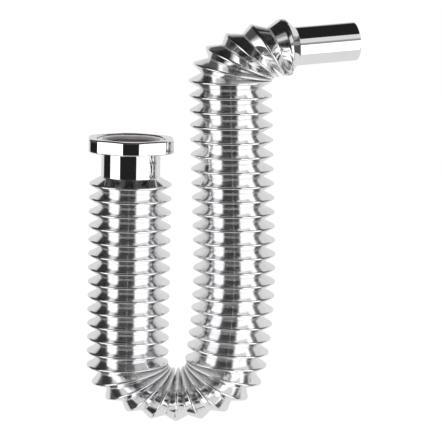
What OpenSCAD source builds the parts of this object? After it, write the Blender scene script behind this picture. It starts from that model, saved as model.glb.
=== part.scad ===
// Flexible sink trap: one blown corrugated hose bent into a J, with a loose
// coupling nut and a flat sealing washer at its inlet and a plain spigot at its outlet.
// The hose is modelled as stretches that meet face to face: the cuff, five runs of folds that
// are cut at a crest, and the spigot.
// The origin is the middle of the washer's top face, where the waste's end seats.
// +Z runs up the inlet, +X points from the inlet leg to the outlet leg, +Y is the back.

/* [Coupling nut] */
// Minor diameter of the nut's thread, a two inch pipe thread
thread_d = 56.66; // [56.3:0.02:57.4]
// Thickness of the nut from its thread to its six rounded corners
nut_wall = 9.07; // [8:0.01:10.5]
// Height of the nut
nut_h = 11.5; // [10:0.1:12.5]
// How far the nut's rim stands above the washer, as it hangs loose
nut_rise = 1.1; // [0.8:0.1:1.4]
// Depth of the lead-in chamfer above the thread
entry_depth = 0.7; // [0.5:0.1:0.7]
// How much wider than the thread the lead-in is at the rim, on each side
entry_flare = 1.9; // [0.5:0.1:2.4]
// Thickness of the lip that catches the hose's flange
lip_t = 2; // [1.6:0.1:2.4]
// Width of one side flute across its mouth
flute_w = 23.4; // [16:0.2:25]
// Radius of the shallow hollow of a side flute
flute_r = 84; // [60:1:140]
// How much deeper the flute is along the nut's top and bottom edges
flute_step = 0.8; // [0.3:0.1:1]
// Height of that deeper edge
flute_step_h = 0.6; // [0.3:0.1:1]
// Chamfer along the nut's outer edges
nut_chamfer = 0.9; // [0.3:0.1:1.2]
// How far the nut is turned on the hose
nut_turn = 3.4; // [-30:0.2:30]

/* [Washer] */
// Thickness of the washer
washer_t = 3; // [2.5:0.1:3]
// Width of the washer's ring from bore to rim
washer_w = 7; // [5:0.1:7.5]
// Rounding chamfer on the washer's edges
washer_chamfer = 0.3; // [0.1:0.05:0.5]

/* [Inlet end of the hose] */
// How far the flange round the hose's mouth stands out from the plain cuff
flange_w = 2.93; // [2.5:0.01:3.5]
// Wall of the cuff
cuff_wall = 1.5; // [1.3:0.1:2]
// Length of the cuff from the hose's mouth to the first fold
cuff_len = 28.4; // [22:0.2:34]
// Thickness of the flange round the hose's mouth
flange_t = 2.2; // [1.8:0.1:2.4]
// Gap between the cuff and the nut's lip, on each side
lip_gap = 0.4; // [0.2:0.05:0.6]
// Gap between the thread and the washer's rim, on each side
washer_gap = 0.35; // [0.2:0.05:0.6]
// Gap between the thread and the hose's flange, on each side
flange_gap = 0.8; // [0.5:0.05:1.2]

/* [Folds] */
// Diameter over the folds' crests on the straight legs
crest_d = 69.2; // [66:0.2:72]
// Depth of a fold on the straight legs, crest to valley
fold_depth = 9.4; // [8:0.1:10]
// Depth of a fold that is drawn out flat on the outside of a bend
stretched_depth = 5.4; // [4:0.1:6.5]
// Thickness of the blown wall
fold_wall = 0.7; // [0.5:0.05:0.9]
// Width of the blunt crest
crest_w = 1.3; // [0.8:0.1:2]
// Distance from the cuff's end to the first crest
lead_in = 6.4; // [5:0.1:8]

/* [Inlet leg] */
// Number of crests on the straight inlet leg
inlet_crests = 13; // [8:1:16]
// Distance from crest to crest on the inlet leg
inlet_pitch = 11.87; // [11:0.05:13]

/* [Bottom bend] */
// Number of steps from crest to crest round the bottom bend
bottom_steps = 10; // [8:1:11]
// Distance between the two legs, centre to centre at the bend
leg_spacing = 83.2; // [80:0.2:90]
// How far the hose's middle drops below the legs' ends
bottom_drop = 27.6; // [25:0.2:30]
// How far the last straight crest stands above the bend
bottom_lead = 10.7; // [9:0.1:12]
// How far the bend tips up at the outlet side, in degrees
bottom_tip = 2.5; // [0:0.1:4]
// How fast the folds swing round, as a share of the ellipse's own tangent
bottom_swing = 0.64; // [0.55:0.01:0.7]
// Share by which the hose is flattened at the bottom
bottom_flatten = 0.39; // [0.3:0.01:0.42]
// Share by which it bulges sideways there
bottom_bulge = 0.26; // [0.1:0.01:0.3]

/* [Outlet leg] */
// Number of crests on the outlet leg above the bottom bend
outlet_crests = 20; // [12:1:22]
// Distance from crest to crest at the foot of the leg
outlet_pitch_low = 11.4; // [11:0.05:13]
// Distance from crest to crest at the top of the leg
outlet_pitch_high = 12.45; // [11:0.05:13.5]
// Lean of the leg as it leaves the bottom bend, in degrees
lean_low = 7.5; // [4:0.1:9]
// How much of that lean is lost at each fold, in degrees
lean_step = 1.25; // [0.8:0.05:2]
// Lean of the upper part of the leg, in degrees
lean_high = -2.6; // [-4:0.1:0]
// How far the crests' planes lag behind the lean, in degrees
crest_lag = 3.3; // [0:0.1:4]

/* [Top bend] */
// Number of crests round the top bend
top_crests = 5; // [4:1:5]
// Angle between two crests along the bend's ellipse
top_step = 16.3; // [15:0.1:17]
// Reach of the top bend to the side
top_reach = 52.6; // [48:0.2:58]
// Rise of the top bend
top_rise = 27.8; // [26:0.2:32]
// How fast the folds swing round, as a share of the ellipse's own tangent
top_swing = 0.7; // [0.6:0.01:0.8]
// Share by which the crests narrow towards the spigot
top_narrow = 0.32; // [0.25:0.01:0.38]
// Tilt of the whole bend, in degrees
top_tip = 1.1; // [-2:0.1:3]

/* [Outlet spigot] */
// Outside diameter of the spigot
spigot_d = 32; // [30:0.1:34]
// Wall of the spigot
spigot_wall = 1.5; // [1.3:0.1:2]
// Length of the spigot
spigot_len = 53; // [40:1:70]
// Distance from the last crest to the spigot
spigot_lead = 8.8; // [8:0.1:12]
// How far the spigot swings towards the back, in degrees
spigot_back = 17.4; // [0:0.2:20]
// How far the spigot climbs, in degrees
spigot_climb = 4.7; // [0:0.1:8]

/* [Hidden] */
$fn = 128;

// Corners round each ring of the folds
ring_sides = 22;
// Thickest that the wall may come out along the depth of a tight fold
skin_limit = 3.2;
// Share of the space between two crests that half a blunt crest may take
crest_share = 0.2;
// Overrun of a cut past the face that it leaves
cut_over = 1;

crest_r = crest_d / 2;
spigot_r = spigot_d / 2;
thread_r = thread_d / 2;
nut_r = thread_r + nut_wall;
nut_top = nut_rise;
nut_bottom = nut_top - nut_h;
mouth_z = -washer_t;
cuff_end_z = mouth_z - cuff_len;
flange_r = thread_r - flange_gap;
cuff_r = flange_r - flange_w;
washer_r = thread_r - washer_gap;
lip_r = cuff_r + lip_gap;
first_crest_z = cuff_end_z - lead_in;
bend_start_z = first_crest_z - (inlet_crests - 1) * inlet_pitch - bottom_lead;

// Length of one wall of a fold from crest to valley, the same in every fold
// because the hose bends without stretching its wall
flank = sqrt(pow(inlet_pitch / 2, 2) + pow(fold_depth, 2));

// Directions at a fold: tau is how far the hose's run is turned from straight up,
// psi how far it swings towards the back.
function run_dir(tau, psi) = [sin(tau) * cos(psi), sin(tau) * sin(psi), cos(tau)];
function out_dir(tau, psi) = [cos(tau) * cos(psi), cos(tau) * sin(psi), -sin(tau)];
function side_dir(psi) = [-sin(psi), cos(psi), 0];
function unit(v) = v / norm(v);
function mix(a, b, share) = a + (b - a) * share;

// A crest is [centre, tau, psi, half width in the bend's plane, half width across it].
function crest(centre, tau, psi, across, deep) = [centre, tau, psi, across, deep];

// The inlet leg runs straight down.
function inlet_crest(i) =
    crest([0, 0, first_crest_z - i * inlet_pitch], 180, 0, crest_r, crest_r);

// The bottom bend follows half an ellipse, and its folds fan out and flatten.
bottom_half = leg_spacing / 2;
bottom_out = [cos(bottom_tip), 0, sin(bottom_tip)];
bottom_down = [sin(bottom_tip), 0, -cos(bottom_tip)];
bottom_centre = [0, 0, bend_start_z] + bottom_half * bottom_out;
foot = bottom_centre + bottom_half * bottom_out;
foot_tau = lean_low - crest_lag;
bottom_turn = 180 - bottom_tip - foot_tau;
function bottom_crest(i) =
    let (phi = i * 180 / bottom_steps,
         swing = (90 - atan2(cos(phi), bottom_swing * sin(phi))) / 180,
         squash = pow(sin(phi), 2))
    crest(bottom_centre - bottom_half * cos(phi) * bottom_out + bottom_drop * sin(phi) * bottom_down,
          180 - bottom_tip - bottom_turn * swing, 0,
          crest_r * (1 - bottom_flatten * squash), crest_r * (1 + bottom_bulge * squash));

// The outlet leg leans out at its foot, straightens, and its folds open towards the top.
function outlet_lean(i) = max(lean_high, lean_low - lean_step * (i - 1));
function outlet_pitch(i) = mix(outlet_pitch_low, outlet_pitch_high, (i - 1) / (outlet_crests - 1));
function outlet_point(i) =
    i == 0 ? foot : outlet_point(i - 1) + outlet_pitch(i) * run_dir(outlet_lean(i), 0);
function outlet_tau(i) = max(-top_tip, outlet_lean(i) - crest_lag);
function outlet_crest(i) = crest(outlet_point(i), outlet_tau(i), 0, crest_r, crest_r);

// The top bend follows a quarter of an ellipse, swings back and narrows to the spigot.
head = outlet_point(outlet_crests);
function swing_back(i) = spigot_back * pow(i / (top_crests + 0.3), 4);
function top_side(i) = top_reach * (1 - cos(top_step * i));
function top_back(i) =
    i == 0 ? 0 : top_back(i - 1) + (top_side(i) - top_side(i - 1)) * tan(swing_back(i - 0.5));
function top_crest(i) =
    let (phi = top_step * i,
         side = top_side(i),
         rise = top_rise * sin(phi))
    crest(head + [side * cos(top_tip) - rise * sin(top_tip), top_back(i), rise * cos(top_tip) + side * sin(top_tip)],
          atan2(top_swing * sin(phi), cos(phi)) - top_tip, swing_back(i),
          crest_r * (1 - top_narrow * pow(sin(phi), 2)), crest_r * (1 - top_narrow * pow(sin(phi), 4)));

crests = concat([for (i = [0:inlet_crests - 1]) inlet_crest(i)],
                [for (i = [0:bottom_steps]) bottom_crest(i)],
                [for (i = [1:outlet_crests]) outlet_crest(i)],
                [for (i = [1:top_crests]) top_crest(i)]);
last = len(crests) - 1;

// The crests at which one stretch of the hose passes into the next.
bottom_start = inlet_crests;
bottom_middle = bottom_start + floor(bottom_steps / 2);
outlet_start = bottom_start + bottom_steps;
top_start = outlet_start + outlet_crests;

// The spigot leaves the last crest along its own straight line.
spigot_tau = 90 - spigot_climb;
spigot_dir = run_dir(spigot_tau, spigot_back);
spigot_base = crests[last][0] + spigot_lead * spigot_dir;

// Points round the hose at one angle: on a crest, and on both edges of its blunt top.
function rim(k, angle) =
    crests[k][0] + crests[k][3] * cos(angle) * out_dir(crests[k][1], crests[k][2])
                 + crests[k][4] * sin(angle) * side_dir(crests[k][2]);
function crest_gap(k, angle) =
    min(k == 0 ? 2 * lead_in : norm(rim(k, angle) - rim(k - 1, angle)),
        k == last ? 2 * spigot_lead : norm(rim(k + 1, angle) - rim(k, angle)));
function blunt(k, angle) = min(crest_w / 2, crest_share * crest_gap(k, angle));
function crest_edge(k, angle, way) =
    rim(k, angle) + way * blunt(k, angle) * run_dir(crests[k][1], crests[k][2]);

// How far the inner skin lies inside the outer one, for a fold of the given half width.
function skin(half) = min(skin_limit, fold_wall * flank / half);
function crest_inside(k, angle) =
    rim(k, angle) + skin(crest_gap(k, angle) / 2) * unit(crests[k][0] - rim(k, angle));

// The valley after crest k: the flank keeps its length, so the fold gets shallower as it opens.
function valley(k, angle, inside) =
    let (before = crest_edge(k, angle, 1),
         after = crest_edge(k + 1, angle, -1),
         half = norm(after - before) / 2,
         middle = (before + after) / 2,
         inward = unit((crests[k][0] + crests[k + 1][0]) / 2 - middle),
         depth = max(stretched_depth, sqrt(max(0, flank * flank - half * half))))
    middle + (depth + (inside ? skin(half) : 0)) * inward;

// Rings of points round the hose. A crest's ring lies on an edge of its blunt top, or between
// both edges where way is 0.
ring_angles = [for (j = [0:ring_sides - 1]) j * 360 / ring_sides];
function crest_ring(k, way) = [for (a = ring_angles) crest_edge(k, a, way)];
function crest_inner_ring(k) = [for (a = ring_angles) crest_inside(k, a)];
function valley_ring(k, inside) = [for (a = ring_angles) valley(k, a, inside)];
function round_ring(centre, tau, psi, radius) =
    [for (a = ring_angles) centre + radius * (cos(a) * out_dir(tau, psi) + sin(a) * side_dir(psi))];
function cuff_ring(radius) = round_ring([0, 0, cuff_end_z], 180, 0, radius);
function spigot_ring(radius) = round_ring(spigot_base, spigot_tau, spigot_back, radius);

// The outer skin's rings from the middle of one crest to the middle of a later one,
// and the inner skin's rings on the way back.
function outer_rings(from, to) =
    concat([crest_ring(from, 0)],
           [for (k = [from:to - 1], part = [0:2])
               part == 0 ? crest_ring(k, 1) : part == 1 ? valley_ring(k, false) : crest_ring(k + 1, -1)],
           [crest_ring(to, 0)]);
function inner_rings(from, to) =
    concat([crest_inner_ring(to)],
           [for (k = [to - 1:-1:from], part = [0, 1])
               part == 0 ? valley_ring(k, true) : crest_inner_ring(k)]);

// A closed solid skinned over a loop of rings.
module skinned(rings) {
    count = len(rings);
    points = [for (ring = rings, p = ring) p];
    faces = [for (i = [0:count - 1], j = [0:ring_sides - 1], half = [0, 1])
        let (next_i = (i + 1) % count,
             next_j = (j + 1) % ring_sides,
             here = i * ring_sides + j,
             across = next_i * ring_sides + next_j)
        half == 0 ? [here, next_i * ring_sides + j, across] : [here, across, i * ring_sides + next_j]];
    polyhedron(points = points, faces = faces);
}

// A stretch of folds between two crests, cut square through both.
module folds(from, to) {
    skinned(concat(outer_rings(from, to), inner_rings(from, to)));
}

// The hose's plain cuff, with the flange round its mouth that the nut pulls against.
module inlet_cuff() {
    inner = cuff_r - cuff_wall;
    color("silver")
        rotate_extrude()
            polygon([[inner, cuff_end_z], [cuff_r, cuff_end_z],
                     [cuff_r, mouth_z - flange_t], [flange_r, mouth_z - flange_t],
                     [flange_r, mouth_z], [inner, mouth_z]]);
}

// The hose's straight inlet leg, from the cuff's end down.
module inlet_folds() {
    color("silver")
        skinned(concat([cuff_ring(cuff_r), crest_ring(0, -1)],
                       outer_rings(0, bottom_start),
                       inner_rings(0, bottom_start),
                       [cuff_ring(cuff_r - cuff_wall)]));
}

// The first half of the hose's bottom bend, where the folds fan out.
module bottom_inlet_folds() {
    color("silver")
        folds(bottom_start, bottom_middle);
}

// The second half of the bottom bend.
module bottom_outlet_folds() {
    color("silver")
        folds(bottom_middle, outlet_start);
}

// The hose's long leg up to the top bend.
module outlet_folds() {
    color("silver")
        folds(outlet_start, top_start);
}

// The hose's top bend, and the cone from its last crest to the spigot.
module top_folds() {
    color("silver")
        skinned(concat(outer_rings(top_start, last),
                       [crest_ring(last, 1), spigot_ring(spigot_r), spigot_ring(spigot_r - spigot_wall)],
                       inner_rings(top_start, last)));
}

// The hose's plain spigot that pushes into the waste pipe.
module outlet_spigot() {
    color("silver")
        translate(spigot_base)
            rotate([0, spigot_tau, spigot_back])
                difference() {
                    cylinder(h = spigot_len, r = spigot_r);
                    translate([0, 0, -cut_over])
                        cylinder(h = spigot_len + 2 * cut_over, r = spigot_r - spigot_wall);
                }
}

// The nut's outline seen from above: a disc with six shallow flutes in its side.
// deeper moves the flutes' walls in.
module fluted_disc(deeper) {
    mouth = sqrt(pow(nut_r, 2) - pow(flute_w / 2, 2));
    reach = sqrt(pow(flute_r, 2) - pow(flute_w / 2, 2));
    difference() {
        circle(r = nut_r + cut_over);
        for (k = [0:5])
            rotate(nut_turn + 60 * k)
                translate([mouth + reach - deeper, 0])
                    circle(r = flute_r);
    }
}

// The loose nut: six rounded corners with flutes between, a lip below and the thread above.
module coupling_nut() {
    lip_top = nut_bottom + lip_t;
    color("lightgray")
        intersection() {
            rotate_extrude()
                polygon([[lip_r, nut_bottom], [nut_r - nut_chamfer, nut_bottom],
                         [nut_r, nut_bottom + nut_chamfer], [nut_r, nut_top - nut_chamfer],
                         [nut_r - nut_chamfer, nut_top], [thread_r + entry_flare, nut_top],
                         [thread_r, nut_top - entry_depth], [thread_r, lip_top],
                         [lip_r, lip_top]]);
            union() {
                translate([0, 0, nut_bottom - cut_over])
                    linear_extrude(nut_h + 2 * cut_over)
                        fluted_disc(flute_step);
                translate([0, 0, nut_bottom + flute_step_h])
                    linear_extrude(nut_h - 2 * flute_step_h)
                        fluted_disc(0);
            }
        }
}

// The flat washer that seals the hose's flange against the waste.
module sealing_washer() {
    inner = washer_r - washer_w;
    edge = washer_chamfer;
    color("gray")
        rotate_extrude()
            polygon([[inner, -washer_t + edge], [inner + edge, -washer_t], [washer_r - edge, -washer_t],
                     [washer_r, -washer_t + edge], [washer_r, -edge], [washer_r - edge, 0],
                     [inner + edge, 0], [inner, -edge]]);
}

inlet_cuff();
inlet_folds();
bottom_inlet_folds();
bottom_outlet_folds();
outlet_folds();
top_folds();
outlet_spigot();
coupling_nut();
sealing_washer();
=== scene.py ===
"""A flexible sink trap: a chromed corrugated hose with its loose coupling nut and washer."""
from collections import namedtuple
from math import atan2, ceil, cos, pi, radians, sin, sqrt, tan

import bmesh
import bpy
from mathutils import Matrix, Vector


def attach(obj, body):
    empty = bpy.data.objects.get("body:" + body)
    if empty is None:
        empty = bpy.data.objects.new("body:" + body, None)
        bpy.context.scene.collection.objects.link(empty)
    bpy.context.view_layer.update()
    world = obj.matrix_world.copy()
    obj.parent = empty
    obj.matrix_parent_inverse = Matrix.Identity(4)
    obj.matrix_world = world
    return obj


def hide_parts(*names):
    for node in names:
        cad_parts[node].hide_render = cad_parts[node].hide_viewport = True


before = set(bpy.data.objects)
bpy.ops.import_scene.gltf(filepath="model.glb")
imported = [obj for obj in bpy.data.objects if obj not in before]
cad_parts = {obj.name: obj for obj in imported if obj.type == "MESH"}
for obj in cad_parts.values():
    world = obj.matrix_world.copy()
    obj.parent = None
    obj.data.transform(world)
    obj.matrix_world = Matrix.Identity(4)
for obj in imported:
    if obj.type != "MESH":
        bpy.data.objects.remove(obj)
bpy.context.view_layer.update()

MM = 0.001
TURN = 2 * pi

# Sizes of the trap in metres, the same as in the part's own source
CREST_R = 34.6 * MM
FOLD_DEPTH = 9.4 * MM
STRETCHED_DEPTH = 5.4 * MM
FOLD_WALL = 0.7 * MM
CREST_W = 1.3 * MM
CREST_SHARE = 0.2
SKIN_LIMIT = 3.2 * MM
LEAD_IN = 6.4 * MM

WASHER_T = 3 * MM
WASHER_W = 7 * MM
WASHER_GAP = 0.35 * MM
CUFF_R = 24.6 * MM
CUFF_WALL = 1.5 * MM
CUFF_LEN = 28.4 * MM
FLANGE_T = 2.2 * MM
FLANGE_GAP = 0.8 * MM

INLET_CRESTS = 13
INLET_PITCH = 11.87 * MM

BOTTOM_STEPS = 10
LEG_SPACING = 83.2 * MM
BOTTOM_DROP = 27.6 * MM
BOTTOM_LEAD = 10.7 * MM
BOTTOM_TIP = radians(2.5)
BOTTOM_SWING = 0.64
BOTTOM_FLATTEN = 0.39
BOTTOM_BULGE = 0.26

OUTLET_CRESTS = 20
OUTLET_PITCH_LOW = 11.4 * MM
OUTLET_PITCH_HIGH = 12.45 * MM
LEAN_LOW = radians(7.5)
LEAN_STEP = radians(1.25)
LEAN_HIGH = radians(-2.6)
CREST_LAG = radians(3.3)

TOP_CRESTS = 5
TOP_STEP = radians(16.3)
TOP_REACH = 52.6 * MM
TOP_RISE = 27.8 * MM
TOP_SWING = 0.7
TOP_NARROW = 0.32
TOP_TIP = radians(1.1)

SPIGOT_R = 16 * MM
SPIGOT_WALL = 1.5 * MM
SPIGOT_LEN = 53 * MM
SPIGOT_LEAD = 8.8 * MM
SPIGOT_BACK = radians(17.4)
SPIGOT_CLIMB = radians(4.7)
SPIGOT_TAU = pi / 2 - SPIGOT_CLIMB

NUT_R = 37.4 * MM
NUT_H = 11.5 * MM
NUT_RISE = 1.1 * MM
NUT_TURN = radians(3.4)
NUT_CHAMFER = 0.9 * MM
LIP_T = 2 * MM
LIP_GAP = 0.4 * MM
FLUTE_W = 23.4 * MM
FLUTE_R = 84 * MM
FLUTE_STEP = 0.8 * MM
FLUTE_STEP_H = 0.6 * MM
ENTRY_DEPTH = 0.7 * MM
ENTRY_FLARE = 1.9 * MM
THREAD_MINOR_R = 28.33 * MM
THREAD_MAJOR_R = 29.8 * MM
THREAD_PITCH = 2.309 * MM

FLANK = sqrt((INLET_PITCH / 2) ** 2 + FOLD_DEPTH ** 2)
MOUTH_Z = -WASHER_T
CUFF_END_Z = MOUTH_Z - CUFF_LEN

# Finish of the meshes
COLUMNS = 128
COLUMN_CROWDING = 0.6
SEAM_RISE = 0.22 * MM
EDGE_ROUND = 0.3 * MM
WASHER_ROUND = 0.4 * MM
FLUTE_BLEND = 0.25 * MM
NUT_COLUMNS = 360
THREAD_ROWS = 12
# The rounding on the outer side of the first and last crest: (inwards, along)
END_ROUND = [(0.15 * MM, 0.57 * MM), (0.55 * MM, 0.99 * MM)]
# A rounded corner takes at most 1 / CORNER_SHARE of a wall. A wall longer than LONG_WALL times the
# rounding gets one more point, SUPPORT_AT times the rounding from the corner
CORNER_SHARE = 2.2
LONG_WALL = 8
SUPPORT_AT = 3
# Points closer than this become one, on a closed piece and on the swept folds
PIECE_WELD = 1e-6
FOLD_WELD = 1e-7
# Added before rounding down, for whole numbers that fall just short
NUDGE = 1e-4


class Wire:
    """A node's socket that takes part in sums, so that a formula adds its own Math nodes."""

    def __init__(self, tree, socket):
        self.tree = tree
        self.socket = socket

    @property
    def is_vector(self):
        return self.socket.type == "VECTOR"

    def port(self, name):
        """Another output of the same node."""
        return Wire(self.tree, self.socket.node.outputs[name])

    def maths(self, operation, *others):
        terms = (self,) + others
        vector = any(isinstance(t, Vector) or isinstance(t, Wire) and t.is_vector for t in terms)
        kind = "ShaderNodeVectorMath" if vector else "ShaderNodeMath"
        return self.tree.make(kind, {"operation": operation}, dict(enumerate(terms)))

    def scaled(self, factor):
        return self.tree.make("ShaderNodeVectorMath", {"operation": "SCALE"}, {0: self, "Scale": factor})

    def length(self):
        return self.tree.make("ShaderNodeVectorMath", {"operation": "LENGTH"}, {0: self}, "Value")

    def unit(self):
        return self.tree.make("ShaderNodeVectorMath", {"operation": "NORMALIZE"}, {0: self})

    def __add__(self, other):
        return self.maths("ADD", other)

    def __sub__(self, other):
        return self.maths("SUBTRACT", other)

    def __mul__(self, other):
        return self.maths("MULTIPLY", other)

    def __truediv__(self, other):
        return self.maths("DIVIDE", other)

    def __rsub__(self, other):
        return self.tree.make("ShaderNodeMath", {"operation": "SUBTRACT"}, {0: other, 1: self})

    def lowest(self, other):
        return self.maths("MINIMUM", other)

    def highest(self, other):
        return self.maths("MAXIMUM", other)

    def floor(self):
        return self.maths("FLOOR")

    def sin(self):
        return self.maths("SINE")

    def cos(self):
        return self.maths("COSINE")

    def root(self):
        return self.maths("SQRT")

    def above(self, limit):
        return self.maths("GREATER_THAN", limit)

    def below(self, limit):
        return self.maths("LESS_THAN", limit)

    def near(self, value, reach):
        """1 where this number lies within reach of value, else 0."""
        return self.tree.make("ShaderNodeMath", {"operation": "COMPARE"}, {0: self, 1: value, 2: reach})

    def rising(self, low, high, top=1.0):
        """A soft step from 0 where this number is low up to top where it is high."""
        return self.tree.make("ShaderNodeMapRange", {"interpolation_type": "SMOOTHSTEP"},
                              {"Value": self, "From Min": low, "From Max": high, "To Max": top})


# The Mix node's sockets for each kind of value: first input, second input and output
MIX_SOCKETS = {"FLOAT": (2, 3, 0), "VECTOR": (4, 5, 1), "RGBA": (6, 7, 2)}


class Tree:
    """A node tree with one way to make a node."""

    def __init__(self, tree):
        self.tree = tree

    def blend(self, kind, share, low, high):
        """Low where share is 0 and high where it is 1."""
        first, second, output = MIX_SOCKETS[kind]
        return self.make("ShaderNodeMix", {"data_type": kind},
                         {"Factor": share, first: low, second: high}, output)

    def noise(self, place, scale, detail):
        return self.make("ShaderNodeTexNoise", {}, {"Vector": place, "Scale": scale, "Detail": detail})

    def make(self, kind, settings=None, sockets=None, output=0):
        """A node of that kind, its settings set first, then the values or links of its sockets."""
        node = self.tree.nodes.new(kind)
        for name, value in (settings or {}).items():
            if name == "stops":
                set_stops(node.color_ramp, value)
            else:
                setattr(node, name, value)
        for name, value in (sockets or {}).items():
            self.feed(node.inputs[name], value)
        return Wire(self, node.outputs[output]) if node.outputs else node

    def feed(self, socket, value):
        """Links a wire to a socket, or sets a plain value on it."""
        if isinstance(value, Wire):
            self.tree.links.new(value.socket, socket)
        else:
            socket.default_value = value


def set_stops(ramp, stops):
    """Fills a colour ramp with (place, grey or colour) stops."""
    while len(ramp.elements) > 1:
        ramp.elements.remove(ramp.elements[-1])
    for i, (place, shade) in enumerate(stops):
        element = ramp.elements[0] if i == 0 else ramp.elements.new(place)
        element.position = place
        element.color = (shade, shade, shade, 1) if isinstance(shade, (int, float)) else (*shade, 1)


# The hose's run

Crest = namedtuple("Crest", "centre tau psi across deep")


def run_dir(tau, psi):
    """The way the hose runs where it is turned by tau from straight up and swung back by psi."""
    return Vector((sin(tau) * cos(psi), sin(tau) * sin(psi), cos(tau)))


def out_dir(tau, psi):
    return Vector((cos(tau) * cos(psi), cos(tau) * sin(psi), -sin(tau)))


def side_dir(psi):
    return Vector((-sin(psi), cos(psi), 0))


def mix(a, b, share):
    return a + (b - a) * share


def inlet_leg():
    first = CUFF_END_Z - LEAD_IN
    return [Crest(Vector((0, 0, first - i * INLET_PITCH)), pi, 0, CREST_R, CREST_R)
            for i in range(INLET_CRESTS)]


def bottom_bend(start):
    """Crests on half an ellipse, fanned out and flattened towards its middle."""
    half = LEG_SPACING / 2
    out = Vector((cos(BOTTOM_TIP), 0, sin(BOTTOM_TIP)))
    down = Vector((sin(BOTTOM_TIP), 0, -cos(BOTTOM_TIP)))
    middle = start + half * out
    turn = pi - BOTTOM_TIP - (LEAN_LOW - CREST_LAG)
    crests = []
    for i in range(BOTTOM_STEPS + 1):
        phi = i * pi / BOTTOM_STEPS
        swing = (pi / 2 - atan2(cos(phi), BOTTOM_SWING * sin(phi))) / pi
        squash = sin(phi) ** 2
        crests.append(Crest(middle - half * cos(phi) * out + BOTTOM_DROP * sin(phi) * down,
                            pi - BOTTOM_TIP - turn * swing, 0,
                            CREST_R * (1 - BOTTOM_FLATTEN * squash), CREST_R * (1 + BOTTOM_BULGE * squash)))
    return crests


def outlet_leg(foot):
    """Crests on a leg that leans out at its foot and opens towards its top."""
    crests = []
    point = foot
    for i in range(OUTLET_CRESTS):
        lean = max(LEAN_HIGH, LEAN_LOW - LEAN_STEP * i)
        pitch = mix(OUTLET_PITCH_LOW, OUTLET_PITCH_HIGH, i / (OUTLET_CRESTS - 1))
        point = point + pitch * run_dir(lean, 0)
        crests.append(Crest(point, max(-TOP_TIP, lean - CREST_LAG), 0, CREST_R, CREST_R))
    return crests


def top_bend(head):
    """Crests on a quarter of an ellipse that swings back and narrows towards the spigot."""
    crests = []
    back = 0
    side_before = 0
    for i in range(1, TOP_CRESTS + 1):
        phi = TOP_STEP * i
        side = TOP_REACH * (1 - cos(phi))
        rise = TOP_RISE * sin(phi)
        back += (side - side_before) * tan(swing_back(i - 0.5))
        side_before = side
        step = Vector((side * cos(TOP_TIP) - rise * sin(TOP_TIP), back,
                       rise * cos(TOP_TIP) + side * sin(TOP_TIP)))
        crests.append(Crest(head + step, atan2(TOP_SWING * sin(phi), cos(phi)) - TOP_TIP, swing_back(i),
                            CREST_R * (1 - TOP_NARROW * sin(phi) ** 2),
                            CREST_R * (1 - TOP_NARROW * sin(phi) ** 4)))
    return crests


def swing_back(i):
    return SPIGOT_BACK * (i / (TOP_CRESTS + 0.3)) ** 4


def hose_crests():
    crests = inlet_leg()
    crests += bottom_bend(crests[-1].centre - Vector((0, 0, BOTTOM_LEAD)))
    crests += outlet_leg(crests[-1].centre)
    return crests + top_bend(crests[-1].centre)


# Meshes of rings

def column_angle(column):
    """The angle of a column of points, crowded towards the mould seams at front and back."""
    angle = TURN * column / COLUMNS
    return angle + COLUMN_CROWDING / 2 * sin(2 * angle)


def ring(centre, tau, psi, radius):
    """Points of one round ring."""
    points = []
    for column in range(COLUMNS):
        angle = column_angle(column)
        points.append(centre + radius * (cos(angle) * out_dir(tau, psi) + sin(angle) * side_dir(psi)))
    return points


def skin(mesh, rings):
    """Adds rings of points to a bmesh, joined by faces."""
    rows = [[mesh.verts.new(p) for p in points] for points in rings]
    for low, high in zip(rows, rows[1:]):
        for i in range(len(low)):
            j = (i + 1) % len(low)
            mesh.faces.new((low[i], low[j], high[j], high[i]))


def soften(corners, reach=EDGE_ROUND):
    """An outline of (radius, height) corners, each but the first and last rounded by three points.

    One more point beside a corner on each long wall keeps the wall's shading straight."""
    points = [Vector(corners[0])]
    for before, here, after in zip(corners, corners[1:], corners[2:]):
        here = Vector(here)
        to_before = Vector(before) - here
        to_after = Vector(after) - here
        room = min(reach, to_before.length / CORNER_SHARE, to_after.length / CORNER_SHARE)
        start = here + to_before.normalized() * room
        end = here + to_after.normalized() * room
        if to_before.length > LONG_WALL * room:
            points.append(here + to_before.normalized() * SUPPORT_AT * room)
        points += [start, (start + 2 * here + end) / 4, end]
        if to_after.length > LONG_WALL * room:
            points.append(here + to_after.normalized() * SUPPORT_AT * room)
    return points + [Vector(corners[-1])]


def crest_end(radius, height, corner):
    """The outline of an end crest's rounding, and where the straight wall to the corner starts."""
    points = [Vector((radius - inwards, height + along)) for inwards, along in END_ROUND]
    onward = (Vector(corner) - points[-1]).normalized()
    return points + [points[-1] + 2 * EDGE_ROUND * onward]


def new_piece(name, mesh, material, body):
    """Closes a bmesh into a smooth object that rides on a body."""
    bmesh.ops.remove_doubles(mesh, verts=mesh.verts, dist=PIECE_WELD)
    bmesh.ops.recalc_face_normals(mesh, faces=mesh.faces)
    data = bpy.data.meshes.new(name)
    mesh.to_mesh(data)
    mesh.free()
    data.materials.clear()
    data.materials.append(material)
    for face in data.polygons:
        face.use_smooth = True
    piece = bpy.data.objects.new(name, data)
    bpy.context.scene.collection.objects.link(piece)
    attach(piece, body)
    return piece


# The folds, swept by a node tree from one point for each crest

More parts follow.
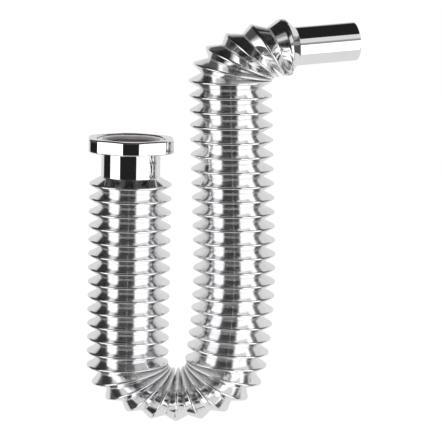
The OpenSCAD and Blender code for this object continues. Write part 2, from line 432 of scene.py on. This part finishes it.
# Rings of one fold from crest to crest: how far a ring starts from the crest's middle towards its
# edge, its share of the way down to the valley, and how far it belongs to the next crest
OUTER_FOLD = [(0, 0, 0), (0.74, 0.016, 0), (1, 0.058, 0), (1, 0.1, 0), (1, 0.89, 0), (1, 0.93, 0),
              (1, 0.955, 0.5), (1, 0.93, 1), (1, 0.89, 1), (1, 0.1, 1), (1, 0.058, 1), (0.74, 0.016, 1)]
INNER_FOLD = [(0, 0, 0), (1, 1, 0)]


def point_mesh(name, points):
    """A mesh of loose points, for a node tree to read."""
    mesh = bpy.data.meshes.new(name)
    mesh.from_pydata([tuple(p) for p in points], [], [])
    return mesh


def crest_points(crests):
    """One point for each crest, with its half widths and the way it runs as attributes."""
    mesh = point_mesh("crests", [c.centre for c in crests])
    columns = {"across": [c.across * out_dir(c.tau, c.psi) for c in crests],
               "deep": [c.deep * side_dir(c.psi) for c in crests],
               "run": [run_dir(c.tau, c.psi) for c in crests]}
    for name, vectors in columns.items():
        attribute = mesh.attributes.new(name, "FLOAT_VECTOR", "POINT")
        attribute.data.foreach_set("vector", [x for v in vectors for x in v])
    piece = bpy.data.objects.new("crests", mesh)
    bpy.context.scene.collection.objects.link(piece)
    return piece


FOLD_SIZES = {"Columns": ("NodeSocketInt", COLUMNS), "Rings": ("NodeSocketInt", 0),
              "Flank": ("NodeSocketFloat", FLANK), "Stretched Depth": ("NodeSocketFloat", STRETCHED_DEPTH),
              "Crest Width": ("NodeSocketFloat", CREST_W), "Wall": ("NodeSocketFloat", FOLD_WALL),
              "Inside": ("NodeSocketFloat", 0.0), "Seam": ("NodeSocketFloat", SEAM_RISE)}


def fold_tree(profile, material):
    """The node tree that sweeps one fold profile round every crest of the hose."""
    group = bpy.data.node_groups.new("folds", "GeometryNodeTree")
    tree = Tree(group)
    face = group.interface
    face.new_socket("Crests", in_out="INPUT", socket_type="NodeSocketGeometry")
    for name, (kind, value) in FOLD_SIZES.items():
        face.new_socket(name, in_out="INPUT", socket_type=kind).default_value = value
    face.new_socket("Folds", in_out="OUTPUT", socket_type="NodeSocketGeometry")
    given = tree.make("NodeGroupInput")
    columns, rings, flank = given.port("Columns"), given.port("Rings"), given.port("Flank")
    wall, inside = given.port("Wall"), given.port("Inside")

    # Row and column of each grid point, then its crest, its place in the fold and its angle
    index = tree.make("GeometryNodeInputIndex")
    grid = tree.make("GeometryNodeMeshGrid", {},
                     {"Vertices X": rings, "Vertices Y": columns + 1.0, "Size X": 1.0, "Size Y": 1.0})
    row = (index / (columns + 1.0) + NUDGE).floor()
    column = index - row * (columns + 1.0)
    steps = float(len(profile))
    crest = (row / steps + NUDGE).floor() + 1.0
    place = row - (crest - 1.0) * steps
    even = column / columns * TURN
    angle = even + (even * 2.0).sin() * (COLUMN_CROWDING / 2)

    profile_points = bpy.data.objects.new("profile", point_mesh("profile", profile))
    bpy.context.scene.collection.objects.link(profile_points)
    table = tree.make("GeometryNodeObjectInfo", {}, {"Object": profile_points}, "Geometry")
    position = tree.make("GeometryNodeInputPosition")

    def sample(geometry, field, at):
        return tree.make("GeometryNodeSampleIndex", {"data_type": "FLOAT_VECTOR", "clamp": True},
                         {"Geometry": geometry, "Value": field, "Index": at})

    def stored(name, at):
        field = tree.make("GeometryNodeInputNamedAttribute", {"data_type": "FLOAT_VECTOR"}, {"Name": name})
        return sample(given, field, at)

    parts = tree.make("ShaderNodeSeparateXYZ", {}, {0: sample(table, position, place)})
    way, share, onward = parts.port("X"), parts.port("Y"), parts.port("Z")

    centres = {step: sample(given, position, crest + step) for step in (-1.0, 0.0, 1.0, 2.0)}
    rims = {step: centre + stored("across", crest + step).scaled(angle.cos())
            + stored("deep", crest + step).scaled(angle.sin()) for step, centre in centres.items()}

    def spacing(step):
        return (rims[step + 1] - rims[step]).length()

    def blunt(step):
        """Half the width of a crest's blunt top, less where its neighbours are close."""
        room = spacing(step - 1.0).lowest(spacing(step)) * CREST_SHARE
        return (given.port("Crest Width") * 0.5).lowest(room)

    def thickness(half):
        """How far the inner skin lies inside the outer one."""
        return (wall * flank / half).lowest(SKIN_LIMIT) * inside

    # The valley: the flank keeps its length, so the fold gets shallower as it opens
    before = rims[0.0] + stored("run", crest).scaled(blunt(0.0))
    after = rims[1.0] - stored("run", crest + 1.0).scaled(blunt(1.0))
    half = (after - before).length() * 0.5
    middle = (after + before).scaled(0.5)
    inward = ((centres[0.0] + centres[1.0]).scaled(0.5) - middle).unit()
    reach = (flank * flank - half * half).highest(0.0).root()
    depth = reach.highest(given.port("Stretched Depth")) + thickness(half)
    valley = middle + inward.scaled(depth)

    # The corner that a ring starts from, then the ring itself
    to_centre = (centres[0.0] - rims[0.0]).unit()
    gap = spacing(-1.0).lowest(spacing(0.0)) * 0.5
    corner = (rims[0.0] + stored("run", crest).scaled(blunt(0.0) * way)
              + to_centre.scaled(thickness(gap)))
    next_corner = rims[1.0] - stored("run", crest + 1.0).scaled(blunt(1.0) * way)
    start = tree.blend("VECTOR", onward, corner, next_corner)
    on_seam = (column / columns * 2.0).maths("FRACT").near(0.5, 0.25 / COLUMNS)
    seam = inward.scaled(on_seam * given.port("Seam") * -1.0)
    placed = start + (valley - start).scaled(share) + seam
    moved = tree.make("GeometryNodeSetPosition", {}, {"Geometry": grid, "Position": placed})

    # What the material reads: how deep in the groove, how far the fold is shut, and the mould seam
    marks = {"groove": share, "tight": 1.0 - half / (INLET_PITCH / 2), "seam": on_seam}
    for name, value in marks.items():
        moved = tree.make("GeometryNodeStoreNamedAttribute", {"data_type": "FLOAT", "domain": "POINT"},
                          {"Geometry": moved, "Name": name, "Value": value})
    merged = tree.make("GeometryNodeMergeByDistance", {}, {"Geometry": moved, "Distance": FOLD_WELD})
    smooth = tree.make("GeometryNodeSetShadeSmooth", {}, {"Geometry": merged})
    real = tree.make("GeometryNodeRealizeInstances", {}, {"Geometry": smooth})
    painted = tree.make("GeometryNodeSetMaterial", {}, {"Geometry": real, "Material": material})
    tree.make("NodeGroupOutput", {}, {"Folds": painted})
    return group, profile_points


def swept_folds(crests, profile, inside, material):
    """The folds' outer or inner skin as a plain mesh, from the first crest to the last."""
    first, last = crests[0], crests[-1]
    ahead = last.centre + 2 * SPIGOT_LEAD * run_dir(SPIGOT_TAU, SPIGOT_BACK)
    ends = [first._replace(centre=first.centre + Vector((0, 0, 2 * LEAD_IN)))] + crests
    ends.append(last._replace(centre=ahead))
    carrier = crest_points(ends)
    group, profile_points = fold_tree(profile, material)
    modifier = carrier.modifiers.new("folds", "NODES")
    modifier.node_group = group
    keys = {item.name: item.identifier for item in group.interface.items_tree if item.in_out == "INPUT"}
    modifier[keys["Rings"]] = (len(crests) - 1) * len(profile) + 1
    modifier[keys["Inside"]] = 1.0 if inside else 0.0
    modifier[keys["Seam"]] = 0.0 if inside else SEAM_RISE
    bpy.context.view_layer.update()
    shape = carrier.evaluated_get(bpy.context.evaluated_depsgraph_get())
    mesh = bpy.data.meshes.new_from_object(shape)
    for helper in (carrier, profile_points):
        bpy.data.objects.remove(helper)
    return mesh


# Pieces

def bellows_hose(material):
    """The blown hose: cuff and flange, folds, and spigot, one closed skin."""
    crests = hose_crests()
    hose = bmesh.new()
    for profile, inside in ((OUTER_FOLD, False), (INNER_FOLD, True)):
        hose.from_mesh(swept_folds(crests, profile, inside, material))

    # Open edges of the folds, sorted to their end and skin
    edge_points = [v for v in hose.verts if v.is_boundary]
    first, last = crests[0], crests[-1]
    near_inlet = [v for v in edge_points if (v.co - first.centre).length < 2 * CREST_R]
    near_outlet = [v for v in edge_points if v not in near_inlet]

    def loops(points, centre):
        """Splits an end's open edge into its outer and inner ring."""
        ordered = sorted(points, key=lambda v: -(v.co - centre).length)
        return ordered[:COLUMNS], ordered[COLUMNS:]

    def matched(points, order):
        """The folds' own ring in the order of a new one, by the nearest point."""
        return [min(points, key=lambda v: (v.co - p).length).co.copy() for p in order]

    def rounded(corners):
        """The outline of an end piece, from the crest out to the mouth and back inside."""
        return crest_end(*corners[0], corners[1]) + soften(corners)[1:-1]

    # The cuff with its flange
    outer, inner = loops(near_inlet, first.centre)
    flange_r = THREAD_MINOR_R - FLANGE_GAP
    bore = CUFF_R - CUFF_WALL
    outline = rounded([(CREST_R, first.centre.z), (CUFF_R, CUFF_END_Z), (CUFF_R, MOUTH_Z - FLANGE_T),
                       (flange_r, MOUTH_Z - FLANGE_T), (flange_r, MOUTH_Z), (bore, MOUTH_Z),
                       (bore, CUFF_END_Z), (CREST_R, first.centre.z)])
    rings = [ring(Vector((0, 0, p.y)), pi, 0, p.x) for p in outline]
    outer_ring = matched(outer, ring(first.centre, pi, 0, CREST_R))
    inner_ring = matched(inner, ring(first.centre, pi, 0, CREST_R - FOLD_WALL))
    skin(hose, [outer_ring] + rings + [inner_ring])

    # The spigot
    outer, inner = loops(near_outlet, last.centre)
    ahead = run_dir(SPIGOT_TAU, SPIGOT_BACK)
    base = last.centre + SPIGOT_LEAD * ahead
    bore = SPIGOT_R - SPIGOT_WALL
    outline = rounded([(last.across, -SPIGOT_LEAD), (SPIGOT_R, 0), (SPIGOT_R, SPIGOT_LEN),
                       (bore, SPIGOT_LEN), (bore, 0), (last.across, -SPIGOT_LEAD)])
    rings = [ring(base + p.y * ahead, SPIGOT_TAU, SPIGOT_BACK, p.x) for p in outline]
    crest_ring = ring(last.centre, last.tau, last.psi, last.across)
    skin(hose, [matched(outer, crest_ring)] + rings + [matched(inner, crest_ring)])

    piece = new_piece("hose", hose, material, "hose")
    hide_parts("inlet_cuff", "inlet_folds", "bottom_inlet_folds", "bottom_outlet_folds",
                "outlet_folds", "top_folds", "outlet_spigot")
    return piece


def flute_radius(angle, deeper):
    """The nut's outside radius at an angle: its rounded corner or the flute beside it."""
    mouth = sqrt(NUT_R ** 2 - (FLUTE_W / 2) ** 2)
    away = mouth + sqrt(FLUTE_R ** 2 - (FLUTE_W / 2) ** 2) - deeper
    off = (angle - NUT_TURN + pi / 6) % (pi / 3) - pi / 6
    hollow = away * cos(off) - sqrt(FLUTE_R ** 2 - (away * sin(off)) ** 2)
    gap = (hollow - NUT_R) / FLUTE_BLEND
    return (hollow + NUT_R) / 2 - FLUTE_BLEND / 2 * sqrt(gap * gap + 1)


def thread_radius(angle, height, low, high):
    """The thread's radius, a rounded V that fades out at both ends."""
    turn = (height / THREAD_PITCH - angle / TURN) % 1
    v = 1 - abs(2 * turn - 1)
    fade = min(1, (height - low) / THREAD_PITCH, (high - height) / THREAD_PITCH)
    v = 0.5 - 0.5 * cos(pi * v)
    return THREAD_MINOR_R + (THREAD_MAJOR_R - THREAD_MINOR_R) * v * max(0, fade)


def coupling_nut(material):
    """The loose nut with its flutes, lip and thread."""
    top = NUT_RISE
    bottom = top - NUT_H
    lip_top = bottom + LIP_T
    thread_top = top - ENTRY_DEPTH
    lip_r = CUFF_R + LIP_GAP
    angles = [TURN * i / NUT_COLUMNS for i in range(NUT_COLUMNS)]

    def round_row(height, radius_at):
        """Points round the nut at one height, radius_at telling the radius at an angle."""
        return [Vector((cos(a), sin(a), 0)) * radius_at(a) + Vector((0, 0, height)) for a in angles]

    def outer(point):
        """A row of the outside, its outline's point being (radius at a corner, height)."""
        inset = NUT_R - point.x
        stepped = point.y < bottom + FLUTE_STEP_H or point.y > top - FLUTE_STEP_H
        return round_row(point.y, lambda a: flute_radius(a, FLUTE_STEP if stepped else 0) - inset)

    def inner(radius, height):
        return [Vector((cos(a) * radius, sin(a) * radius, height)) for a in angles]

    band = 3 * NUT_CHAMFER
    foot = soften([(lip_r + EDGE_ROUND, bottom), (NUT_R - NUT_CHAMFER, bottom),
                   (NUT_R, bottom + NUT_CHAMFER), (NUT_R, bottom + band)])
    head = soften([(NUT_R, top - band), (NUT_R, top - NUT_CHAMFER),
                   (NUT_R - NUT_CHAMFER, top), (NUT_R - band, top)])
    rows = [outer(point) for point in foot[1:] + head[:-1]]
    edge = EDGE_ROUND / 2
    entry_r = THREAD_MINOR_R + ENTRY_FLARE
    rows += [inner(entry_r + edge, top), inner(entry_r, top - edge / 2)]
    count = ceil((thread_top - lip_top) / (THREAD_PITCH / THREAD_ROWS))
    for i in range(count + 1):
        height = mix(thread_top, lip_top, i / count)
        rows.append(round_row(height, lambda a: thread_radius(a, height, lip_top, thread_top)))
    rows += [inner(lip_r + edge, lip_top), inner(lip_r, lip_top - edge),
             inner(lip_r, bottom + edge), inner(lip_r + edge, bottom)]
    rows.append(rows[0])
    nut = bmesh.new()
    skin(nut, rows)
    piece = new_piece("nut", nut, material, "nut")
    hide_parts("coupling_nut")
    return piece


def sealing_washer(material):
    """The flat washer with soft edges."""
    outer = THREAD_MINOR_R - WASHER_GAP
    inner = outer - WASHER_W
    corners = [(inner, -WASHER_T / 2), (inner, -WASHER_T), (outer, -WASHER_T), (outer, 0), (inner, 0),
               (inner, -WASHER_T / 2)]
    outline = soften(corners, WASHER_ROUND)
    washer = bmesh.new()
    skin(washer, [ring(Vector((0, 0, p.y)), 0, 0, p.x) for p in outline])
    piece = new_piece("washer", washer, material, "hose")
    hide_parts("sealing_washer")
    return piece


# Materials

# Noises as (scale, detail): the chrome's haze and fine grain, the rubber's patches and grain
HAZE = (60.0, 4.0)
FINE_GRAIN = (900.0, 3.0)
PATCHES = (90.0, 4.0)
RUBBER_GRAIN = (2500.0, 3.0)
WAVE_DETAIL = 2.0

# The chrome's colour ramp over its haze, how much the haze dulls it and how high its grain stands
CHROME_STOPS = [(0.35, (0.92, 0.922, 0.93)), (0.65, (0.96, 0.96, 0.965))]
HAZE_DULL = 0.05
GRAIN_SHARE = 0.02
# The nut's underside, painted dark as shade, then the cuff's bare inside: its colour, its extra
# roughness and how far outside the bore's radius it still shows
UNDERSIDE_SHADE_TINT = (0.1, 0.1, 0.105, 1)
BARE_PLASTIC = (0.36, 0.33, 0.335, 1)
BARE_DULL = 0.5
BARE_MARGIN = 0.2 * MM

# The folds' finish: extra roughness, more of it in the grooves, how matt the folds are, at the very
# bottom of the grooves, along the mould seam and where the folds are squeezed shut
FOLD_DULL = 0.07
GROOVE_DULL = 0.05
FOLD_MATT = 0.005
GROOVE_MATT = 0.25
SEAM_MATT = 0.14
TIGHT_MATT = 0.9
# Where the bottom of a groove and the squeezed folds begin and where they count in full
GROOVE_BOTTOM = (0.89, 0.95)
SQUEEZED = (0.3, 0.9)
# Ripples along the folds: their size in metres, how much tighter up and down, and their height
RIPPLE_SIZE = 0.02
RIPPLE_SQUASH = 12.0
FOLD_RIPPLE = 0.1
# Where the spigot's own smooth wall begins
SPIGOT_FROM_X = 133 * MM

# The washer's warm grey seat ends at this radius, with a pale ring outside it
SEAT_R = 24.5 * MM
SEAT_STOPS = [(0.3, (0.36, 0.325, 0.335)), (0.7, (0.47, 0.43, 0.44))]
PALE_OUTER_RING = (0.8, 0.79, 0.79, 1)
# The washer's fine moulded rings: their spacing, and their height beside the grain's
RING_SPACING = 1.1 * MM
RING_SHARE = 0.5
RELIEF_STRENGTH = 0.4
RELIEF_HEIGHT = 0.1 * MM
RUBBER_DULL = 0.5
PATCH_DULL = 0.2


def new_material(name):
    material = bpy.data.materials.new(name)
    material.use_nodes = True
    material.node_tree.nodes.clear()
    return material, Tree(material.node_tree)


def place_on_piece(tree):
    return tree.make("ShaderNodeTexCoord", {}, {}, "Object")


def colour_ramp(tree, stops, share):
    return tree.make("ShaderNodeValToRGB", {"stops": stops}, {"Fac": share}, "Color")


def waves(tree, place, wave_size, squash=1.0):
    """Slow noise whose waves are wave_size long sideways and squash times as tight up and down."""
    moved = tree.make("ShaderNodeMapping", {}, {"Vector": place, "Scale": (1, 1, squash)})
    return tree.noise(moved, 1 / wave_size, WAVE_DETAIL)


def axis_distance(parts):
    """How far a place lies from the inlet's axis."""
    x, y = parts.port("X"), parts.port("Y")
    return (x * x + y * y).root()


def chrome(name, waviness, wave_size, roughness, folded=False, shade_below=None):
    """Bright chromed plastic: a mirror with a little haze and slow ripples in its surface.

    On the folded stretch it is duller, most of all in the grooves, and rippled along the folds,
    and the cuff's inside is bare plastic. Below a given height its colour is painted dark, as shade under
    the piece."""
    material, tree = new_material(name)
    place = place_on_piece(tree)
    parts = tree.make("ShaderNodeSeparateXYZ", {}, {0: place})
    haze = tree.noise(place, *HAZE)
    height = waves(tree, place, wave_size) + tree.noise(place, *FINE_GRAIN) * GRAIN_SHARE
    dull = haze * HAZE_DULL + roughness
    metal = 1.0
    tint = colour_ramp(tree, CHROME_STOPS, haze)
    if folded:
        groove, tight, seam = [tree.make("ShaderNodeAttribute", {"attribute_name": mark}, {}, "Fac")
                               for mark in ("groove", "tight", "seam")]
        on_cuff = parts.port("X").below(CREST_R) * parts.port("Z").above(CUFF_END_Z)
        on_folds = 1.0 - on_cuff.highest(parts.port("X").above(SPIGOT_FROM_X))
        bare = on_cuff * axis_distance(parts).below(CUFF_R - CUFF_WALL + BARE_MARGIN)
        height = height + waves(tree, place, RIPPLE_SIZE, RIPPLE_SQUASH) * on_folds * FOLD_RIPPLE
        dull = dull + (groove * GROOVE_DULL + FOLD_DULL) * on_folds + bare * BARE_DULL
        matt = groove.rising(*GROOVE_BOTTOM) * GROOVE_MATT + seam * SEAM_MATT + FOLD_MATT
        shut = tight.rising(*SQUEEZED, TIGHT_MATT)
        metal = (1.0 - matt * on_folds) * (1.0 - shut * on_folds) * (1.0 - bare)
        tint = tree.blend("RGBA", bare, tint, BARE_PLASTIC)
    # Painted shade: below the given height the chrome's colour is darkened
    if shade_below is not None:
        tint = tree.blend("RGBA", parts.port("Z").below(shade_below), tint, UNDERSIDE_SHADE_TINT)
    bump = tree.make("ShaderNodeBump", {}, {"Height": height, "Strength": 1.0, "Distance": waviness})
    shader = tree.make("ShaderNodeBsdfPrincipled", {},
                       {"Base Color": tint, "Metallic": metal, "Roughness": dull, "Normal": bump})
    tree.make("ShaderNodeOutputMaterial", {}, {"Surface": shader})
    return material


def washer_rubber():
    """Matt warm grey rubber with a fine grain, paler worn patches and a pale ring round its edge."""
    material, tree = new_material("washer_rubber")
    place = place_on_piece(tree)
    radius = axis_distance(tree.make("ShaderNodeSeparateXYZ", {}, {0: place}))
    patch = tree.noise(place, *PATCHES)
    seat = colour_ramp(tree, SEAT_STOPS, patch)
    colour = tree.blend("RGBA", radius.above(SEAT_R), seat, PALE_OUTER_RING)
    rings = (radius * (TURN / RING_SPACING)).sin()
    height = tree.noise(place, *RUBBER_GRAIN) + rings * RING_SHARE
    bump = tree.make("ShaderNodeBump", {},
                     {"Height": height, "Strength": RELIEF_STRENGTH, "Distance": RELIEF_HEIGHT})
    dull = patch * PATCH_DULL + RUBBER_DULL
    shader = tree.make("ShaderNodeBsdfPrincipled", {},
                       {"Base Color": colour, "Roughness": dull, "Normal": bump})
    tree.make("ShaderNodeOutputMaterial", {}, {"Surface": shader})
    return material


# Studio

# What the chrome mirrors. Each row of the studio starts at a height in degrees and is a list of
# (direction, brightness) steps: 0 is the camera's side and positive is to the right.
DARK, DIM, DUSK, GLOOM = 0.016, 0.08, 0.14, 0.15
GREY, PALE, BRIGHT, WHITE = 0.3, 0.74, 1.1, 1.5
ROWS = [
    (-90, [(-180, PALE)]),
    (-60, [(-180, PALE), (-155, DARK), (-118, PALE), (-98, DIM), (-84, PALE), (-58, DARK), (22, PALE)]),
    (-42, [(-180, PALE), (-112, DARK), (-78, BRIGHT), (24, WHITE), (54, DIM), (69, WHITE), (93, GREY),
           (112, PALE)]),
    (-31, [(-180, PALE), (-128, DARK), (-84, WHITE), (-40, DUSK), (24, WHITE), (85, DIM), (112, PALE)]),
    (-22, [(-180, PALE), (-128, DARK), (-84, WHITE), (-41, DARK), (25, WHITE), (85, DIM), (112, PALE)]),
    (-4, [(-180, PALE), (-133, DIM), (-85, WHITE), (-41, DARK), (25, WHITE), (80, DIM), (124, PALE)]),
    (10, [(-180, PALE), (-140, DIM), (-72, PALE), (-38, DIM), (27, GREY), (44, DIM), (62, GREY),
          (132, PALE)]),
    (22, [(-180, DIM), (-172, PALE), (-150, DIM), (-82, GREY), (-62, PALE), (-34, GLOOM), (27, PALE),
          (85, DIM), (115, GREY), (128, PALE), (165, GREY)]),
    (34, [(-180, DIM), (-155, DARK), (-60, GREY), (-35, DIM), (27, PALE), (85, DARK), (120, PALE),
          (153, DARK)]),
    (46, [(-180, DARK), (80, DIM), (100, DARK)]),
    (62, [(-180, DARK)])]
# How soft the edges of the bands and rows are, in degrees
BAND_EDGE = 2.5
ROW_EDGE = 4


def round_share(direction):
    """A direction in degrees as a share of the way round, from -180 to 180."""
    return direction / 360 + 0.5


def studio_world():
    """A white room for the camera, and for the chrome a ring of panels with dark gaps."""
    world = bpy.data.worlds.new("studio")
    bpy.context.scene.world = world
    world.use_nodes = True
    world.node_tree.nodes.clear()
    world.cycles.sampling_method = "NONE"
    tree = Tree(world.node_tree)
    way = tree.make("ShaderNodeTexCoord", {}, {}, "Generated")
    parts = tree.make("ShaderNodeSeparateXYZ", {}, {0: way})
    x, y, z = parts.port("X"), parts.port("Y"), parts.port("Z")
    azimuth = x.maths("ARCTAN2", y * -1.0) * (180 / pi)
    height = z.maths("ARCSINE") * (180 / pi)

    def row_ramp(steps):
        """The brightness round one row."""
        stops = [(0.0, steps[0][1] / WHITE)]
        for (start, shade), (_, before) in zip(steps[1:], steps):
            stops.append((round_share(start - BAND_EDGE / 2), before / WHITE))
            stops.append((round_share(start + BAND_EDGE / 2), shade / WHITE))
        return colour_ramp(tree, stops, round_share(azimuth)) * WHITE

    room = row_ramp(ROWS[0][1])
    for foot, steps in ROWS[1:]:
        over = height.rising(foot - ROW_EDGE / 2, foot + ROW_EDGE / 2)
        room = tree.blend("FLOAT", over, room, row_ramp(steps))
    path = tree.make("ShaderNodeLightPath")
    seen = tree.blend("FLOAT", path.port("Is Glossy Ray"), 1.0, room)
    background = tree.make("ShaderNodeBackground", {}, {"Color": seen, "Strength": 1.0})
    tree.make("ShaderNodeOutputWorld", {}, {"Surface": background})


FLOOR_Z = -0.55
FLOOR_SIZE = 12
FLOOR_COLOUR = (0.9, 0.9, 0.9, 1)
FLOOR_GLOW = 0.12


def studio_floor():
    """A pale floor well below the trap, which hangs from its inlet."""
    material, tree = new_material("floor")
    diffuse = tree.make("ShaderNodeBsdfDiffuse", {}, {"Color": FLOOR_COLOUR})
    glow = tree.make("ShaderNodeEmission", {}, {"Color": (1, 1, 1, 1), "Strength": FLOOR_GLOW})
    both = tree.make("ShaderNodeAddShader", {}, {0: diffuse, 1: glow})
    tree.make("ShaderNodeOutputMaterial", {}, {"Surface": both})
    half = FLOOR_SIZE / 2
    corners = [(-half, -half), (half, -half), (half, half), (-half, half)]
    data = bpy.data.meshes.new("floor")
    data.from_pydata([(x, y, FLOOR_Z) for x, y in corners], [], [(0, 1, 2, 3)])
    data.materials.append(material)
    floor = bpy.data.objects.new("floor", data)
    bpy.context.scene.collection.objects.link(floor)
    floor.visible_glossy = False


# Camera: the angle of view goes from the top of the picture to its bottom
CAMERA_FOV = radians(11.1)
CAMERA_AWAY = 1.911
CAMERA_UP = radians(8.85)
CAMERA_ROLL = radians(1.32)
CAMERA_AIM = Vector((76.4, 0, -67.8)) * MM
CAMERA_RANGE = (0.05, 50)
SENSOR = 24


def studio_camera():
    data = bpy.data.cameras.new("camera")
    data.sensor_fit = "VERTICAL"
    data.sensor_height = SENSOR
    data.lens = SENSOR / 2 / tan(CAMERA_FOV / 2)
    data.clip_start, data.clip_end = CAMERA_RANGE
    camera = bpy.data.objects.new("camera", data)
    bpy.context.scene.collection.objects.link(camera)
    away = CAMERA_AWAY * Vector((0, -cos(CAMERA_UP), sin(CAMERA_UP)))
    tilt = Matrix.Rotation(pi / 2 - CAMERA_UP, 4, "X")
    roll = Matrix.Rotation(CAMERA_ROLL, 4, "Z")
    camera.matrix_world = Matrix.Translation(CAMERA_AIM + away) @ tilt @ roll
    bpy.context.scene.camera = camera


# Just above the nut's underside: below it the nut's colour is painted dark as shade
NUT_FOOT = NUT_RISE - NUT_H + 0.02 * MM

studio_camera()
studio_world()
studio_floor()
bellows_hose(chrome("hose_chrome", waviness=0.05 * MM, wave_size=0.02, roughness=0.02, folded=True))
coupling_nut(chrome("nut_chrome", waviness=0.03 * MM, wave_size=0.015, roughness=0.03, shade_below=NUT_FOOT))
sealing_washer(washer_rubber())

view = bpy.context.scene.view_settings
view.view_transform = "Standard"
